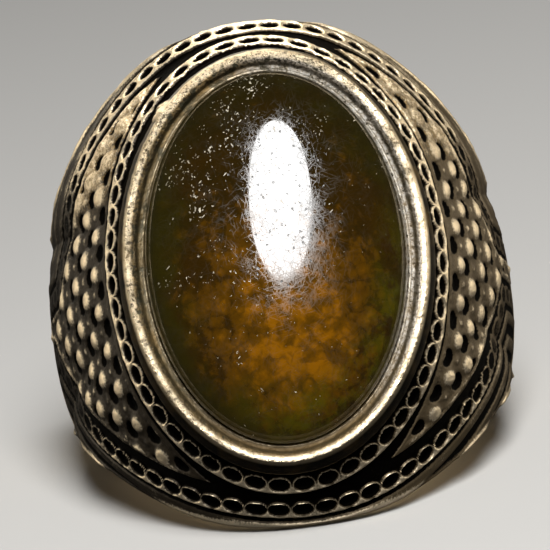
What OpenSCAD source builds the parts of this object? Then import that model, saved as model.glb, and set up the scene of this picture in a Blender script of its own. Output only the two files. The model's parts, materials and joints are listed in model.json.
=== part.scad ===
// Cabochon ring: a long oval stone in a bezel, on a cast band with rows of pits and bossed side panels.
// The ring is drawn with the finger along Y and the stone facing +Z, and is then laid on its side.

/* [Finger hole] */
// Diameter of the finger hole
bore_d = 19.8; // [19:0.1:20.4]

/* [Stone] */
// Width of the stone that shows, across the finger
opening_w = 13.1; // [12.7:0.1:13.3]
// Length of the stone that shows, along the finger
opening_l = 19; // [18.6:0.1:19.2]
// Height of the stone's top above the foot of the bezel
stone_rise = 4.5; // [3:0.1:6]
// Gap between the stone and the metal around it
stone_gap = 0.1; // [0.08:0.01:0.14]

/* [Head] */
// Height of the bezel's foot above the finger hole
head_t = 2.9; // [2.8:0.1:3.4]
// Width of the band over the middle of the head
head_w = 26; // [25.8:0.1:27]
// Turn of the oval against the band, in degrees
head_turn = -3.5; // [-5:0.5:5]

/* [Band] */
// Width of the band at the back of the finger
back_w = 5.6; // [4:0.1:7]
// Thickness of the band at its sides
side_t = 2.2; // [2:0.1:2.6]
// Thickness of the band at the back of the finger
back_t = 1.8; // [1.5:0.1:2.2]
// Angle over which the head narrows to the band, in degrees
narrowing = 73; // [68:1:76]

/* [Relief] */
// Depth of the pits in the rows and panels
pit_depth = 0.36; // [0.2:0.02:0.4]
// Height of the bosses in the side panels
boss_h = 0.24; // [0.1:0.02:0.3]

/* [Hidden] */

bore_r = bore_d / 2;
foot_z = bore_r + head_t;

// The band's rim stands this far out from the finger hole at the head, the sides and the back
HEAD_RIM = 0.6;
SIDE_RIM = 1.6;
BACK_RIM = 1.3;
NARROWING_POWER = 2.4;
SECTION_POWER = 2.4;
// Step of angle at which the lengths along the rim and round the oval are measured
RUN_STEP = 3;

// The bezel's section, from the seat's corner over the crest to the foot:
// distance out from the opening, height above the foot
BEZEL = [
    [0.30, -1.00],
    [0.30, 0.36],
    [0.00, 0.74],
    [0.02, 0.92],
    [0.42, 1.14],
    [0.84, 1.36],
    [1.08, 1.26],
    [1.30, 0.80],
    [1.42, 0.00],
];
FOOT = len(BEZEL) - 1;

// The stone's section up to its dome: distance out from the opening, height above the foot
GIRDLE = [
    [0.00, stone_gap - 1.00],
    [0.30 - stone_gap, -0.60],
    [0.30 - stone_gap, 0.28],
    [-stone_gap, 0.66],
];
DOME_POWER = 2.3;
DOME_RINGS = 8;
STONE_SIDES = 48;

// Rows of relief outside the foot: distance from the foot, height, and how much of a pit it has
INNER_ROWS = [
    [0.18, -0.10, 0],
    [0.34, 0.03, 0],
    [0.72, 0.03, 1],
    [1.08, 0.03, 0],
    [1.22, 0.11, 0],
    [1.38, -0.10, 0],
];
// Rows of relief along the rim: distance from the rim, height, and how much of a pit it has
OUTER_ROWS = [
    [1.34, -0.10, 0],
    [1.20, 0.05, 0],
    [0.82, 0.03, 1],
    [0.44, 0.05, 0],
    [0.28, 0.11, 0],
    [0.00, 0.00, 0],
];
// Rows across a side panel, with a raised border on each side, and its share of the room between the rows
PANEL_ROWS = 9;
BORDER_H = 0.10;
PANEL_SHARE = 0.92;

// Columns round the head: three to a pit of the inner row and two to a pit along the rim
INNER_PITS = 52;
COLUMNS = 3 * INNER_PITS;
RIM_COLUMNS = 64;
SIDE_COLUMNS = COLUMNS / 2 - RIM_COLUMNS;
// A panel covers the columns between its two points, and opens out over a few of them
GAP_COLUMNS = 20;
PANEL_COLUMNS = COLUMNS / 2 - GAP_COLUMNS;
PANEL_OPENING = 11;
BOSS_COLUMNS = 4;

// Sections of the band from its right side, round the back, to its left side
BAND_STEPS = 20;
// The solid's core, all of which the finger hole takes away
CORE_R = bore_r - 0.8;
CORE_Y = back_w / 2;
BORE_SIDES = 96;

function mix(a, b, t) = a + (b - a) * t;
function unit(v) = v / norm(v);
function pick(rows, run) = lookup(run, rows);

// Half of the band's width at an angle from the top of the head
function half_width(a) =
    mix(back_w, head_w, exp(-pow(abs(a) / narrowing, NARROWING_POWER))) / 2;

// Radius of the band's rim, and of the middle of its outer face below the head
function rim_r(a) =
    bore_r + mix(abs(a) > 90 ? BACK_RIM : HEAD_RIM, SIDE_RIM, pow(sin(a), 2));
function face_r(a) = bore_r + mix(back_t, side_t, pow(sin(a), 2));

// Point of the band's outer face at an angle from the top, with v from -1 to 1 across it
function band_point(a, v) =
    let (r = mix(face_r(a), rim_r(a), pow(abs(v), SECTION_POWER)))
    [r * sin(a), v * half_width(a), r * cos(a)];
function rim_point(a, v) = [rim_r(a) * sin(a), v * half_width(a), rim_r(a) * cos(a)];

// Points at even steps along the rim over the head: length of run against angle
RIM_RUN = [
    for (
        a = 90, s = 0;
        a >= -90;
        s = s + norm(rim_point(a - RUN_STEP, 1) - rim_point(a, 1)), a = a - RUN_STEP
    )
        [s, a]
];
RIM_LENGTH = RIM_RUN[len(RIM_RUN) - 1][0];
function rim_angle(j) = pick(RIM_RUN, RIM_LENGTH * j / RIM_COLUMNS);

// Edge of the head: the rim on both sides, joined by the band's section at its left and right
NORTH_END = RIM_COLUMNS;
LEFT_END = NORTH_END + SIDE_COLUMNS;
SOUTH_END = LEFT_END + RIM_COLUMNS;
function head_edge(j) =
    j <= NORTH_END ? rim_point(rim_angle(j), 1)
    : j <= LEFT_END ? band_point(-90, 1 - 2 * (j - NORTH_END) / SIDE_COLUMNS)
    : j <= SOUTH_END ? rim_point(-rim_angle(j - LEFT_END), -1)
    : band_point(90, 2 * (j - SOUTH_END) / SIDE_COLUMNS - 1);
// Angle from the top at which a column meets the edge of the head
function edge_angle(j) =
    j <= NORTH_END ? rim_angle(j)
    : j <= LEFT_END ? -90
    : j <= SOUTH_END ? -rim_angle(j - LEFT_END)
    : 90;
// 1 where a column ends on the rim, fading out next to the band's sides
function on_rim(j) =
    let (k = j % (COLUMNS / 2))
    max(0, min(1, (min(k, RIM_COLUMNS - k) - 1) / 2));

// Points at even steps round the oval: length of run against the oval's own angle
function oval(a, grow) = [(opening_w / 2 + grow) * cos(a), (opening_l / 2 + grow) * sin(a)];
FOOT_OUT = BEZEL[FOOT][0];
OVAL_RUN = [
    for (
        a = 0, s = 0;
        a <= 360;
        s = s + norm(oval(a + RUN_STEP, FOOT_OUT) - oval(a, FOOT_OUT)), a = a + RUN_STEP
    )
        [s, a]
];
OVAL_LENGTH = OVAL_RUN[len(OVAL_RUN) - 1][0];
function oval_angle(j) =
    let (k = (j + SIDE_COLUMNS / 2) % COLUMNS)
    pick(OVAL_RUN, OVAL_LENGTH * k / COLUMNS);
function turned(p, z) =
    [p.x * cos(head_turn) - p.y * sin(head_turn), p.x * sin(head_turn) + p.y * cos(head_turn), z];
function bezel_point(j, row) = turned(oval(oval_angle(j), row[0]), foot_z + row[1]);

// Each column is an arc from the foot to the edge, which bows out and ends upright at the sides
function foot(j) = bezel_point(j, BEZEL[FOOT]);
SIDE_SAG = 0.4;
HEAD_BULGE = 0.12;
function bow(j) =
    let (f = foot(j), e = head_edge(j), s = pow(sin(edge_angle(j)), 2), north = sign(e.y))
    [
        mix(f.x, e.x, (1 + s) / 2),
        (f.y + e.y) / 2 + north * HEAD_BULGE * (1 - s),
        (f.z + e.z) / 2 + mix(HEAD_BULGE, -SIDE_SAG, s)
    ];
FOOTS = [for (j = [0:COLUMNS - 1]) foot(j)];
BOWS = [for (j = [0:COLUMNS - 1]) bow(j)];
EDGES = [for (j = [0:COLUMNS - 1]) head_edge(j)];
function face(j, t) = mix(mix(FOOTS[j], BOWS[j], t), mix(BOWS[j], EDGES[j], t), t);
// Outward direction of that face
function outward(j, t) =
    let (
        next = (j + 1) % COLUMNS,
        last = (j + COLUMNS - 1) % COLUMNS,
        along = mix(FOOTS[next] - FOOTS[last], EDGES[next] - EDGES[last], t),
        out = mix(BOWS[j] - FOOTS[j], EDGES[j] - BOWS[j], t)
    )
    unit(cross(out, along));
ARC_STEP = 1 / 16;
ARC_RUNS = [
    for (j = [0:COLUMNS - 1]) [
        for (t = 0, s = 0; t <= 1; s = s + norm(face(j, t + ARC_STEP) - face(j, t)), t = t + ARC_STEP)
            [s, t]
    ]
];
function arc_length(j) = ARC_RUNS[j][len(ARC_RUNS[j]) - 1][0];
// Point at a run from the foot, raised from the face by a height
function relief_point(j, run, h) =
    let (t = pick(ARC_RUNS[j], run))
    face(j, t) + h * outward(j, t);

// Columns from the nearer point of a side panel, or less than 0 between the panels
function panel_column(j) =
    let (
        k = (j + COLUMNS - (RIM_COLUMNS + GAP_COLUMNS) / 2) % (COLUMNS / 2),
        n = min(k, PANEL_COLUMNS - k)
    )
    n;
function panel_open(j) = sin(90 * max(0, min(1, panel_column(j) / PANEL_OPENING)));
function is_open(j) = panel_column(j) > 0;

// Pits of the inner row and of the rim's row, and the bosses and pits of the side panels
function inner_height(j, row) = row[1] - row[2] * (j % 3 > 0 ? pit_depth : 0);
function outer_height(j, row) =
    on_rim(j) * (row[1] - row[2] * (j % 2 == 1 ? pit_depth : 0));
function boss_height(j, k) =
    let (c = (j + k * BOSS_COLUMNS / 2) % BOSS_COLUMNS)
    c == 0 ? boss_h : c == BOSS_COLUMNS / 2 ? -pit_depth : 0;
function panel_height(j, k) =
    panel_open(j) * (k == 0 || k == PANEL_ROWS - 1 ? BORDER_H : boss_height(j, k));

INNER_END = INNER_ROWS[len(INNER_ROWS) - 1][0];
OUTER_START = OUTER_ROWS[0][0];
function panel_run(j, k) =
    let (q = k / (PANEL_ROWS - 1), room = arc_length(j) - OUTER_START - INNER_END)
    INNER_END + room * (0.5 + (q - 0.5) * PANEL_SHARE * panel_open(j));

// Rows of points round the head, from the seat's corner to the edge of the head
HEAD_POINTS = [
    for (row = BEZEL) [for (j = [0:COLUMNS - 1]) bezel_point(j, row)],
    for (row = INNER_ROWS) [
        for (j = [0:COLUMNS - 1]) relief_point(j, row[0], inner_height(j, row))
    ],
    for (k = [0:PANEL_ROWS - 1]) [
        for (j = [0:COLUMNS - 1]) relief_point(j, panel_run(j, k), panel_height(j, k))
    ],
    for (row = OUTER_ROWS) [
        for (j = [0:COLUMNS - 1])
            relief_point(j, arc_length(j) - row[0], outer_height(j, row))
    ],
];
PANEL_START = len(BEZEL) + len(INNER_ROWS);
PANEL_END = PANEL_START + PANEL_ROWS - 1;
LAST_ROW = len(HEAD_POINTS) - 1;

// Numbers of the points: the seat's middle, the head's rows, the band's sections, then the core
function head_i(i, j) =
    let (c = (j + COLUMNS) % COLUMNS, r = i > PANEL_START && i <= PANEL_END && !is_open(c) ? PANEL_START : i)
    1 + r * COLUMNS + c;
BAND_FIRST = 1 + len(HEAD_POINTS) * COLUMNS;
function band_i(s, m) =
    s == 0 ? head_i(LAST_ROW, SOUTH_END + m)
    : s == BAND_STEPS ? head_i(LAST_ROW, LEFT_END - m)
    : BAND_FIRST + (s - 1) * (SIDE_COLUMNS + 1) + m;
function wrap(a) = a > 180 ? a - 360 : a;
BAND_POINTS = [
    for (s = [1:BAND_STEPS - 1], m = [0:SIDE_COLUMNS])
        band_point(wrap(90 + 180 * s / BAND_STEPS), 2 * m / SIDE_COLUMNS - 1)
];

NORTH_RIM = [
    for (j = [0:NORTH_END]) head_i(LAST_ROW, j),
    for (s = [BAND_STEPS - 1:-1:1]) band_i(s, SIDE_COLUMNS),
];
SOUTH_RIM = [
    for (j = [LEFT_END:SOUTH_END]) head_i(LAST_ROW, j),
    for (s = [1:BAND_STEPS - 1]) band_i(s, 0),
];
OUTER_POINTS = [
    turned([0, 0], foot_z + BEZEL[0][1]),
    for (row = HEAD_POINTS) each row,
    each BAND_POINTS,
];
function core_point(p) = [p.x, 0, p.z] * CORE_R / norm([p.x, p.z]) + [0, p.y, 0];
CORE_FIRST = len(OUTER_POINTS);
RIM_COUNT = len(NORTH_RIM);
BODY_POINTS = [
    each OUTER_POINTS,
    for (i = NORTH_RIM) core_point(OUTER_POINTS[i]),
    for (i = SOUTH_RIM) core_point(OUTER_POINTS[i]),
    [0, CORE_Y, 0],
    [0, -CORE_Y, 0],
];
CAP_FIRST = CORE_FIRST + 2 * RIM_COUNT;

// Two triangles for four corners, folded outwards, without those that have closed up at a panel's point
function folded(p, a, b, c, d) =
    cross(p[b] - p[a], p[c] - p[a]) * (p[d] - p[a]) > 0
        ? [[a, b, c], [a, c, d]]
        : [[a, b, d], [b, c, d]];
function two(p, a, b, c, d) =
    [for (f = folded(p, a, b, c, d)) if (f[0] != f[1] && f[1] != f[2] && f[2] != f[0]) f];
function rim_faces(rim, first, cap) = [
    for (k = [0:RIM_COUNT - 1])
        let (n = (k + 1) % RIM_COUNT)
        each [each two(BODY_POINTS, rim[k], rim[n], first + n, first + k), [first + k, first + n, cap]]
];
BODY_FACES = [
    for (j = [0:COLUMNS - 1]) [0, head_i(0, j + 1), head_i(0, j)],
    for (i = [0:LAST_ROW - 1], j = [0:COLUMNS - 1])
        each two(
            BODY_POINTS, head_i(i, j), head_i(i, j + 1), head_i(i + 1, j + 1), head_i(i + 1, j)
        ),
    for (s = [0:BAND_STEPS - 1], m = [0:SIDE_COLUMNS - 1])
        each two(
            BODY_POINTS, band_i(s, m), band_i(s, m + 1), band_i(s + 1, m + 1), band_i(s + 1, m)
        ),
    each rim_faces(NORTH_RIM, CORE_FIRST, CAP_FIRST),
    each rim_faces(SOUTH_RIM, CORE_FIRST + RIM_COUNT, CAP_FIRST + 1),
];

// The stone's rings of points: its girdle, then a dome that closes at the top
function stone_ring(grow, size, z) = [
    for (k = [0:STONE_SIDES - 1]) turned(oval(360 * k / STONE_SIDES, grow) * size, z)
];
DOME_FOOT = GIRDLE[len(GIRDLE) - 1];
function dome_size(t) = pow(cos(90 * t), 2 / DOME_POWER);
function dome_z(t) = mix(DOME_FOOT[1], stone_rise, pow(sin(90 * t), 2 / DOME_POWER));
STONE_RINGS = [
    for (row = GIRDLE) stone_ring(row[0], 1, foot_z + row[1]),
    for (k = [1:DOME_RINGS - 1])
        stone_ring(DOME_FOOT[0], dome_size(k / DOME_RINGS), foot_z + dome_z(k / DOME_RINGS)),
];
STONE_LAST = len(STONE_RINGS) - 1;
function stone_i(i, k) = i * STONE_SIDES + k % STONE_SIDES;
STONE_TOP = (STONE_LAST + 1) * STONE_SIDES;
STONE_POINTS = [for (ring = STONE_RINGS) each ring, [0, 0, foot_z + stone_rise]];
STONE_FACES = [
    [for (k = [0:STONE_SIDES - 1]) k],
    for (i = [0:STONE_LAST - 1], k = [0:STONE_SIDES - 1])
        each two(
            STONE_POINTS, stone_i(i, k), stone_i(i + 1, k), stone_i(i + 1, k + 1), stone_i(i, k + 1)
        ),
    for (k = [0:STONE_SIDES - 1]) [stone_i(STONE_LAST, k), STONE_TOP, stone_i(STONE_LAST, k + 1)],
];

// On its side the ring stands on the finger hole's edge at the head and on the rim at the back
HEAD_REST = [0, -head_w / 2, bore_r];
BACK_REST = [0, -back_w / 2, -rim_r(180)];
lean = atan((BACK_REST.y - HEAD_REST.y) / (HEAD_REST.z - BACK_REST.z));
function laid(p) =
    [p.x, p.y * sin(lean) - p.z * cos(lean), p.y * cos(lean) + p.z * sin(lean)];
LAID = [for (p = concat(OUTER_POINTS, STONE_POINTS)) laid(p)];
function middle(values) = (min(values) + max(values)) / 2;
SHIFT = [-middle([for (p = LAID) p.x]), -middle([for (p = LAID) p.y]), -laid(HEAD_REST).z];

module lay_down() {
    translate(SHIFT)
        rotate([90 - lean, 0, 0])
            children();
}

module ring_body() {
    color([0.72, 0.68, 0.60])
        lay_down()
            difference() {
                polyhedron(points = BODY_POINTS, faces = BODY_FACES);
                rotate([90, 0, 0])
                    cylinder(h = 2 * head_w, r = bore_r, center = true, $fn = BORE_SIDES);
            }
}

module cabochon() {
    color([0.36, 0.30, 0.08])
        lay_down()
            polyhedron(points = STONE_POINTS, faces = STONE_FACES);
}

ring_body();
cabochon();
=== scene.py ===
"""Cabochon ring: a long domed stone in a raised bezel, on a cast silver band with pitted and bossed relief.

The ring is drawn as it is worn, with the finger along Y and the stone facing Z, in millimetres. It is
then laid on its side round the finger hole that the frame's record gives.
"""
import json
import logging
import math
from dataclasses import dataclass, field, fields, replace
from enum import Enum
from functools import reduce
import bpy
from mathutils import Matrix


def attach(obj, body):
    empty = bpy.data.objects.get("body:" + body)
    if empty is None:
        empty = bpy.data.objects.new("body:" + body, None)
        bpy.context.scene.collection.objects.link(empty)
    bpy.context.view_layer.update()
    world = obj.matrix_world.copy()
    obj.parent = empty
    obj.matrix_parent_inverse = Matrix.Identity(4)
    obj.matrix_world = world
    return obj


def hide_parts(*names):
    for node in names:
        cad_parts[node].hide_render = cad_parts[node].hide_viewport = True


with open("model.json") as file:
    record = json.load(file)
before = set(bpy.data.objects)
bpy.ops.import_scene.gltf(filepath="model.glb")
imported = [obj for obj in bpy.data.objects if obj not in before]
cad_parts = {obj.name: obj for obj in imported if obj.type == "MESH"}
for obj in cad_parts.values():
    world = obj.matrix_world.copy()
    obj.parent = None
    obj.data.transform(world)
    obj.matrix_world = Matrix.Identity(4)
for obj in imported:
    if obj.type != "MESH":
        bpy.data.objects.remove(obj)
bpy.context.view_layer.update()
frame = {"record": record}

from types import SimpleNamespace
from typing import Sequence

import bpy
import bmesh
import numpy as np
from mathutils import Matrix, Vector
from mathutils.kdtree import KDTree

log = logging.getLogger("cabochon_ring")
MM = 0.001
BODY = "root"

Colour = tuple[float, float, float]
Range = tuple[float, float]
Numbers = float | np.ndarray


class Side(Enum):
    """The two sides of the band, along the finger."""

    NORTH = 1
    SOUTH = -1


def mix(a: Numbers, b: Numbers, t: Numbers) -> Numbers:
    """The value a share t of the way from a to b."""
    return a + (b - a) * t


def sine(degrees: Numbers) -> Numbers:
    """Sine of an angle in degrees."""
    return np.sin(np.radians(degrees))


def cosine(degrees: Numbers) -> Numbers:
    """Cosine of an angle in degrees."""
    return np.cos(np.radians(degrees))


def around_finger(points: np.ndarray) -> np.ndarray:
    """Angles of points round the finger, in degrees from the top of the head."""
    return np.degrees(np.arctan2(points[..., 0], points[..., 2]))


def run_length(points: np.ndarray) -> np.ndarray:
    """Length of run up to each point of polylines, with their points along the first axis."""
    steps = np.linalg.norm(np.diff(points, axis=0), axis=-1)
    return np.concatenate([np.zeros((1,) + steps.shape[1:]), np.cumsum(steps, axis=0)])


def smooth_line(corners: Sequence[Sequence[float]], steps: int) -> np.ndarray:
    """A smooth line through corners, by cubic stretches between them.

    Args:
        corners: The points that the line passes through.
        steps: Points made for each stretch.

    Returns:
        The line's points.
    """
    knots = np.asarray(corners, float)
    knots = np.vstack([2 * knots[0] - knots[1], knots, 2 * knots[-1] - knots[-2]])
    line = []
    for i in range(1, len(knots) - 2):
        before, start, end, after = knots[i - 1:i + 3]
        for t in np.arange(steps) / steps:
            line.append(
                start
                + 0.5 * t * (end - before)
                + t * t * (before - 2.5 * start + 2 * end - 0.5 * after)
                + 0.5 * t ** 3 * (3 * (start - end) + after - before)
            )
    line.append(knots[-2])
    return np.array(line)


def nearest(curve: np.ndarray, points: np.ndarray) -> tuple[np.ndarray, np.ndarray]:
    """Finds the nearest point of a finely drawn curve.

    Args:
        curve: The curve's points.
        points: The points to measure from.

    Returns:
        The nearest curve point's number, and the distance to it.
    """
    tree = KDTree(len(curve))
    for number, point in enumerate(curve):
        tree.insert(point, number)
    tree.balance()
    found = [tree.find(point)[1:] for point in points]
    return np.array([n for n, _ in found]), np.array([d for _, d in found])


@dataclass(frozen=True)
class FingerHole:
    """Where the finger hole lies: its centre in metres, its axis, and its radius in millimetres."""

    centre: np.ndarray
    axis: np.ndarray
    radius: float

    @classmethod
    def of_record(cls, record: dict) -> "FingerHole":
        """Reads the hole from the frame's record.

        Args:
            record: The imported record.

        Returns:
            The finger hole.
        """
        mount = next(m for m in record["mounts"] if m["name"] == "finger_bore")
        axis = np.array(mount["axis"], float)
        return cls(np.array(mount["pos_m"], float), axis / np.linalg.norm(axis), mount["dims"]["r_mm"])

    def turn(self, directions: np.ndarray) -> np.ndarray:
        """Directions as drawn, turned into the frame."""
        right = np.array([1.0, 0.0, 0.0])
        return np.asarray(directions, float) @ np.array([right, self.axis, np.cross(right, self.axis)])

    def place(self, points: np.ndarray) -> np.ndarray:
        """Points as drawn in millimetres, laid in the frame in metres."""
        return self.turn(points) * MM + self.centre


@dataclass(frozen=True)
class Band:
    """The band and the head's outline before any relief."""

    bore_r: float
    head_w: float = 26.0
    back_w: float = 5.6
    side_t: float = 2.2
    back_t: float = 1.8
    narrowing: float = 73.0
    narrowing_power: float = 2.4
    section_power: float = 2.4
    head_rim: float = 0.6
    side_rim: float = 1.6
    back_rim: float = 1.3

    def half_width(self, angle: Numbers) -> Numbers:
        """Half of the band's width at an angle from the top of the head."""
        bell = np.exp(-(np.abs(angle) / self.narrowing) ** self.narrowing_power)
        return mix(self.back_w, self.head_w, bell) / 2

    def rim_r(self, angle: Numbers) -> Numbers:
        """Radius of the rim at an angle from the top."""
        middle = np.where(np.abs(angle) > 90, self.back_rim, self.head_rim)
        return self.bore_r + mix(middle, self.side_rim, sine(angle) ** 2)

    def face_r(self, angle: Numbers) -> Numbers:
        """Radius of the middle of the outer face below the head."""
        return self.bore_r + mix(self.back_t, self.side_t, sine(angle) ** 2)

    def at(self, radius: Numbers, angle: Numbers, along: Numbers) -> np.ndarray:
        """The point at a radius and an angle round the finger, and a place along it."""
        radius, angle, along = np.broadcast_arrays(radius, angle, along)
        return np.stack([radius * sine(angle), along, radius * cosine(angle)], axis=-1)

    def face(self, angle: Numbers, across: Numbers) -> np.ndarray:
        """Points of the outer face, with across from -1 to 1 over its width."""
        radius = mix(self.face_r(angle), self.rim_r(angle), np.abs(across) ** self.section_power)
        return self.at(radius, angle, across * self.half_width(angle))

    def rim(self, angle: Numbers, side: Side) -> np.ndarray:
        """Points of the rim on one side."""
        return self.at(self.rim_r(angle), angle, side.value * self.half_width(angle))


@dataclass(frozen=True)
class Oval:
    """The oval of the stone that shows, and what is offset from it."""

    opening_w: float = 13.1
    opening_l: float = 19.0
    turn: float = -3.5

    def points(self, angle: Numbers, grow: Numbers, height: Numbers, size: Numbers = 1.0) -> np.ndarray:
        """Points of an offset oval, turned against the band.

        Args:
            angle: The oval's own angle in degrees.
            grow: Distance out from the opening.
            height: Height from the finger hole's axis.
            size: Share of the oval's size.

        Returns:
            The points, as drawn.
        """
        x = (self.opening_w / 2 + grow) * size * cosine(angle)
        y = (self.opening_l / 2 + grow) * size * sine(angle)
        x, y, height = np.broadcast_arrays(x, y, height)
        turned_x = x * cosine(self.turn) - y * sine(self.turn)
        turned_y = x * sine(self.turn) + y * cosine(self.turn)
        return np.stack([turned_x, turned_y, height], axis=-1)


class Field:
    """A number that nodes work out at each point, written with plain arithmetic."""

    def __init__(self, sheet: "Sheet", socket: bpy.types.NodeSocket) -> None:
        """Keeps the node tree and the socket that gives the number."""
        self.sheet = sheet
        self.socket = socket

    def calc(self, operation: str, *others: "Field | float", first: bool = True) -> "Field":
        """Adds one Math node.

        Args:
            operation: The node's operation.
            others: The other numbers or fields that it takes.
            first: Whether this field comes before the others.

        Returns:
            The node's result.
        """
        terms = (self, *others) if first else (*others, self)
        node = self.sheet.node("ShaderNodeMath", dict(enumerate(terms)), operation=operation)
        return Field(self.sheet, node.outputs[0])

    def __add__(self, other: "Field | float") -> "Field":
        """Sum."""
        return self.calc("ADD", other)

    __radd__ = __add__

    def __sub__(self, other: "Field | float") -> "Field":
        """Difference."""
        return self.calc("SUBTRACT", other)

    def __rsub__(self, other: float) -> "Field":
        """Difference from a number."""
        return self.calc("SUBTRACT", other, first=False)

    def __mul__(self, other: "Field | float") -> "Field":
        """Product."""
        return self.calc("MULTIPLY", other)

    __rmul__ = __mul__

    def __truediv__(self, other: "Field | float") -> "Field":
        """Quotient."""
        return self.calc("DIVIDE", other)

    def __abs__(self) -> "Field":
        """Distance from nought."""
        return self.calc("ABSOLUTE")

    def least(self, other: "Field | float") -> "Field":
        """The smaller of two."""
        return self.calc("MINIMUM", other)

    def most(self, other: "Field | float") -> "Field":
        """The larger of two."""
        return self.calc("MAXIMUM", other)

    def middle(self) -> "Field":
        """Distance from the middle of its own whole step, from -0.5 to 0.5."""
        return self - self.calc("FLOOR") - 0.5

    def turns(self, cosine_part: "Field") -> "Field":
        """Share of a turn whose sine this is, from -0.5 to 0.5."""
        return self.calc("ARCTAN2", cosine_part) / math.tau

    def ramp(self, low: "Field | float", high: "Field | float") -> "Field":
        """Smooth rise from 0 at low to 1 at high."""
        inputs = {"Value": self, "From Min": low, "From Max": high}
        node = self.sheet.node("ShaderNodeMapRange", inputs, interpolation_type="SMOOTHSTEP")
        return Field(self.sheet, node.outputs["Result"])

    def fall(self, low: "Field | float", high: "Field | float") -> "Field":
        """Smooth fall from 1 at low to 0 at high."""
        return 1.0 - self.ramp(low, high)

    def ridge(self, centre: "Field | float", reach: float) -> "Field":
        """Smooth ridge of height 1 at centre, down to 0 at a reach from it."""
        return abs(self - centre).fall(0.0, reach)


Amount = Field | float
Socket = bpy.types.NodeSocket


def ellipse(along: Field, half_length: Amount, across: Field, half_width: Amount) -> Field:
    """Distance from an ellipse's centre, 1 on its edge, from the distances along and across it."""
    x, y = along / half_length, across / half_width
    return (x * x + y * y).calc("SQRT")


@dataclass(frozen=True)
class Grain:
    """A soft noise: waves to a millimetre, finer layers, which noise it is, and the layers' weight."""

    scale: float
    detail: float
    seed: float
    roughness: float = 0.5


class Sheet:
    """A node tree, of a shape or of a finish."""

    def __init__(self, tree: bpy.types.NodeTree) -> None:
        """Keeps the tree."""
        self.tree = tree

    def feed(self, socket: Socket, value: object) -> None:
        """Links a field or socket to a socket, or sets a plain value on it."""
        value = value.socket if isinstance(value, Field) else value
        if isinstance(value, Socket):
            self.tree.links.new(value, socket)
        else:
            socket.default_value = value

    def node(self, kind: str, inputs: dict | None = None, **settings: object) -> bpy.types.Node:
        """Adds a node.

        Args:
            kind: The node's type.
            inputs: Values, fields or sockets for its inputs.
            settings: The node's own properties.

        Returns:
            The node.
        """
        made = self.tree.nodes.new(kind)
        for name, value in settings.items():
            setattr(made, name, value)
        for key, value in (inputs or {}).items():
            self.feed(made.inputs[key], value)
        return made

    def attribute(self, name: str) -> Socket:
        """The vector that the mesh keeps under a name."""
        if self.tree.bl_idname == "GeometryNodeTree":
            made = self.node("GeometryNodeInputNamedAttribute", {"Name": name}, data_type="FLOAT_VECTOR")
            return next(o for o in made.outputs if o.enabled and o.name == "Attribute")
        return self.node("ShaderNodeAttribute", attribute_name=name).outputs["Vector"]

    def parts(self, vector: Socket) -> list[Field]:
        """The three numbers of a vector."""
        made = self.node("ShaderNodeSeparateXYZ", {"Vector": vector})
        return [Field(self, o) for o in made.outputs]

    def noise(self, vector: Socket, grain: Grain) -> Field:
        """Soft noise about nought, from about -0.5 to 0.5, read at a vector in millimetres."""
        inputs = {"Vector": vector, "W": grain.seed, "Scale": grain.scale}
        inputs |= {"Detail": grain.detail, "Roughness": grain.roughness}
        made = self.node("ShaderNodeTexNoise", inputs, noise_dimensions="4D")
        return Field(self, made.outputs[0]) - 0.5

    def cells(
        self, vector: Socket, scale: float, feature: str = "F1", flat: bool = False
    ) -> tuple[Field, list[Field]]:
        """Cells scattered at random.

        Args:
            vector: Where they are read, in millimetres.
            scale: Cells to a millimetre.
            feature: Which distance is given.
            flat: Whether they lie in a plane and don't change with height.

        Returns:
            The distance, and three random numbers for each cell.
        """
        size = "2D" if flat else "3D"
        inputs = {"Vector": vector, "Scale": scale}
        made = self.node("ShaderNodeTexVoronoi", inputs, feature=feature, voronoi_dimensions=size)
        chances = [] if feature == "DISTANCE_TO_EDGE" else self.parts(made.outputs["Color"])
        return Field(self, made.outputs["Distance"]), chances

    def blend(self, share: Amount, low: object, high: object) -> Socket:
        """A colour between two, by a share."""
        made = self.node("ShaderNodeMix", data_type="RGBA")
        for name, value in (("Factor", share), ("A", low), ("B", high)):
            socket = next(s for s in made.inputs if s.name == name and s.enabled)
            self.feed(socket, (*value, 1.0) if isinstance(value, tuple) else value)
        return next(o for o in made.outputs if o.enabled)

    def layers(self, base: object, coats: Sequence[tuple[Amount, Colour]]) -> Socket:
        """A colour with coats of other colours over it, each by a share."""
        return reduce(lambda colour, coat: self.blend(coat[0], colour, coat[1]), coats, base)

    def bump(self, height: Field, strength: float, depth: float) -> Socket:
        """The normal of a surface with fine unevenness, of a depth in millimetres."""
        inputs = {"Height": height, "Strength": strength, "Distance": depth * MM}
        return self.node("ShaderNodeBump", inputs).outputs["Normal"]


def new_material(name: str) -> tuple[bpy.types.Material, Sheet]:
    """A new material with its node tree."""
    material = bpy.data.materials.new(name)
    material.use_nodes = True
    return material, Sheet(material.node_tree)


def dress(sheet: Sheet, inputs: dict[str, object]) -> None:
    """Sets what the material's shader takes, under the names of its inputs."""
    shader = sheet.tree.nodes["Principled BSDF"]
    for name, value in inputs.items():
        sheet.feed(shader.inputs[name], value)


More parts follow.
